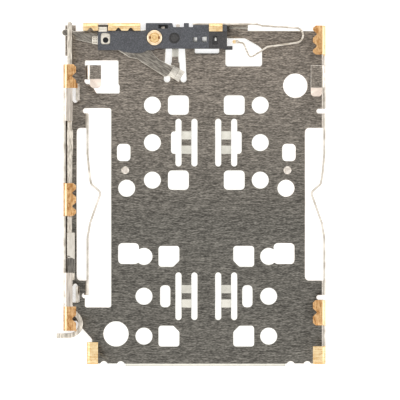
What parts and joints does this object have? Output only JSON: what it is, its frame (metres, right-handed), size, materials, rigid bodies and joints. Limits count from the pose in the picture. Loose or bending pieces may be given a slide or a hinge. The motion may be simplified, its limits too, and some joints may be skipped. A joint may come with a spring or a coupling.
{
  "type": "sim card reader",
  "caption": "Flat stamped-steel card tray reader with folded soldering feet, a sliding push rod, a pivoting ejector lever and a detect switch.",
  "frame": {"origin": "middle of the outer face of the plate, which the part lies on", "axes": "+Y towards the rear, where the housing is; -Y towards the mouth; +Z from the plate to the soldering feet"},
  "size_m": [0.0181, 0.0233, 0.0014],
  "materials": {
    "shell": "brushed, with plated soldering feet",
    "housing": "moulded, matt",
    "housing_insert": "bright plated",
    "fixed_contact": "bright plated",
    "detect_spring": "bright plated, gold at the tip and the tail",
    "ejector_lever": "ground, satin",
    "pivot_rivet": "gold plated",
    "push_rod": "satin"
  },
  "bodies": {
    "shell": {"shell": "shell", "housing": "housing", "housing_insert": "housing_insert", "fixed_contact": "fixed_contact", "detect_spring": "detect_spring", "pivot_rivet": "pivot_rivet"},
    "rod": {"push_rod": "push_rod"},
    "lever": {"ejector_lever": "ejector_lever"}
  },
  "joints": [
    {"name": "rod_slide", "type": "slide", "parent": "shell", "child": "rod", "axis": [0, -1, 0], "range_m": [0, 0.0017]},
    {"name": "lever_pivot", "type": "hinge", "parent": "shell", "child": "lever", "pos_m": [-0.0027, 0.0106, 0.0004], "axis": [0, 0, 1], "range_deg": [0, 16.4]}
  ],
  "couplings": [
    {"joint": "lever_pivot", "follows": "rod_slide", "rad_per_m": 167.8}
  ]
}
